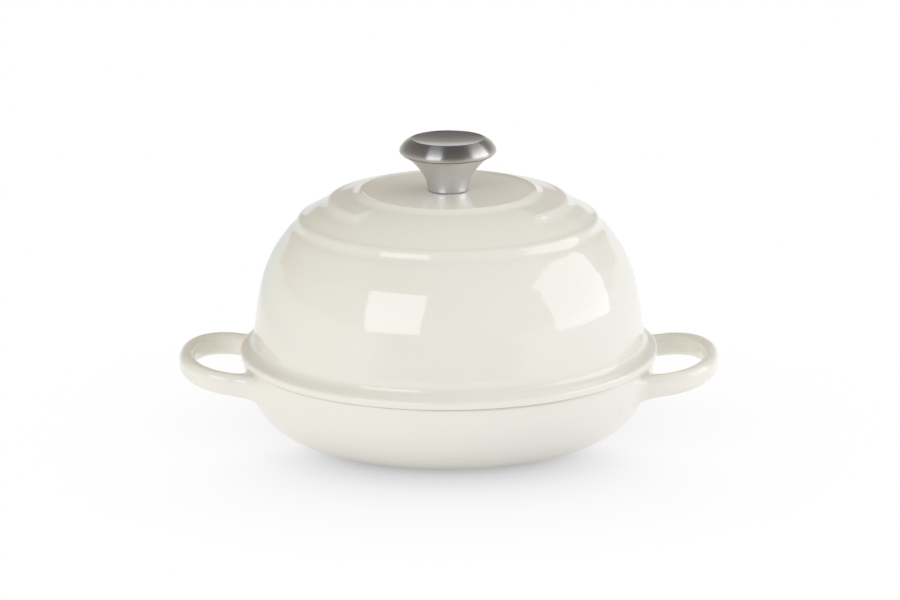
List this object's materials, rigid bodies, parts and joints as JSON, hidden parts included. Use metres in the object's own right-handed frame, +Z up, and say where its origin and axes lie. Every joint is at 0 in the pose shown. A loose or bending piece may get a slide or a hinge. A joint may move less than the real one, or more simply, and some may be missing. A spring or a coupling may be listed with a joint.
{
  "type": "cast iron bread oven",
  "caption": "Round enamelled cast iron bread oven: shallow dish with loop handles and a tall terraced dome lid with a steel knob.",
  "frame": {"origin": "centre of the dish on the surface that it stands on", "axes": "+Z up through the knob, +X along the two loop handles, -Y the front, where the dome's middle ring is broken"},
  "size_m": [0.324, 0.25, 0.1744],
  "materials": {
    "dish_enamel": "glossy cream enamel on cast iron",
    "dome_enamel": "glossy cream enamel on cast iron",
    "polished_steel": "polished stainless steel",
    "satin_steel": "satin stainless steel",
    "plated_steel": "zinc plated steel"
  },
  "bodies": {
    "dish": {"base_dish": "dish_enamel"},
    "lid": {"dome_lid": "dome_enamel", "knob_cap": "polished_steel", "knob_stem": "satin_steel", "knob_insert": "plated_steel", "knob_screw": "plated_steel", "screw_washer": "plated_steel"}
  },
  "joints": [
    {"name": "lid_lift", "type": "slide", "parent": "dish", "child": "lid", "axis": [0, 0, 1], "range_m": [0, 0.2]}
  ]
}
